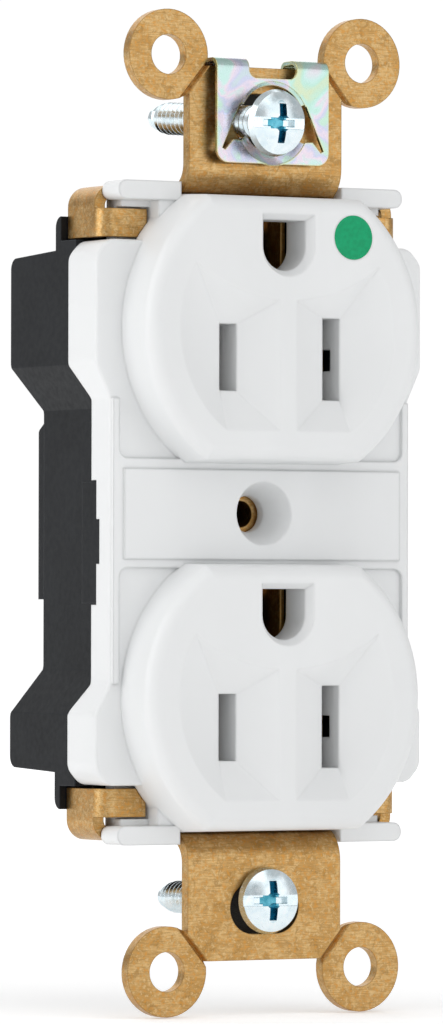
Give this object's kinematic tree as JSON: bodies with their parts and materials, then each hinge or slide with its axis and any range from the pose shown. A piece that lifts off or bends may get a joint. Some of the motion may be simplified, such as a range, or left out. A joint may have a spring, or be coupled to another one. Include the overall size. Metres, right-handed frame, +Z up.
{
  "type": "duplex wall outlet",
  "caption": "Duplex grounded wall outlet with round faces, a wrap-around brass strap, break-off ears, a grounding clip and captive mounting screws.",
  "frame": {"origin": "middle of the four ear holes, on the wall plane (the backs of the ears)", "axes": "+Z up, -Y out of the wall towards the user, +X to the user's right"},
  "size_m": [0.0402, 0.0271, 0.106],
  "materials": {
    "white_nylon": "satin moulded nylon",
    "green_mark": "flush green mark",
    "black_thermoplastic": "fine matte moulding",
    "strap_brass": "mill brass, mottled",
    "contact_brass": "bright sheet brass",
    "rivet_brass": "satin",
    "clip_steel": "yellow-iridescent zinc plate",
    "zinc_screw": "clear-blue zinc plate",
    "fibre_washer": "pressed fibre"
  },
  "bodies": {
    "receptacle": {"face_cover": "white_nylon", "green_dot": "green_mark", "back_body": "black_thermoplastic", "contact_insulator": "black_thermoplastic", "mounting_strap": "strap_brass", "ground_clip": "clip_steel", "hot_bus_bar": "contact_brass", "neutral_bus_bar": "contact_brass", "hot_contact_upper": "contact_brass", "hot_contact_lower": "contact_brass", "neutral_contact_upper": "contact_brass", "neutral_contact_lower": "contact_brass", "contact_rivets": "rivet_brass", "ground_contact_upper": "contact_brass", "ground_contact_lower": "contact_brass", "ground_terminal": "contact_brass", "ground_rivets": "rivet_brass", "assembly_screws": "zinc_screw"},
    "upper_retainer": {"upper_screw_retainer": "fibre_washer"},
    "upper_screw": {"upper_mounting_screw": "zinc_screw"},
    "lower_retainer": {"lower_screw_retainer": "fibre_washer"},
    "lower_screw": {"lower_mounting_screw": "zinc_screw"}
  },
  "joints": [
    {"name": "upper_screw_float", "type": "slide", "parent": "receptacle", "child": "upper_retainer", "axis": [0.0834, -0.9933, -0.0802], "range_m": [-0.0014, 0.0001]},
    {"name": "upper_screw_turn", "type": "hinge", "parent": "upper_retainer", "child": "upper_screw", "pos_m": [-0.0011, -0.0047, 0.04115], "axis": [0.0834, -0.9933, -0.0802], "continuous": true},
    {"name": "lower_screw_float", "type": "slide", "parent": "receptacle", "child": "lower_retainer", "axis": [-0.0209, -0.9997, 0.0157], "range_m": [-0.0002, 0.0004]},
    {"name": "lower_screw_turn", "type": "hinge", "parent": "lower_retainer", "child": "lower_screw", "pos_m": [0, -0.0016, -0.0409], "axis": [-0.0209, -0.9997, 0.0157], "continuous": true}
  ]
}
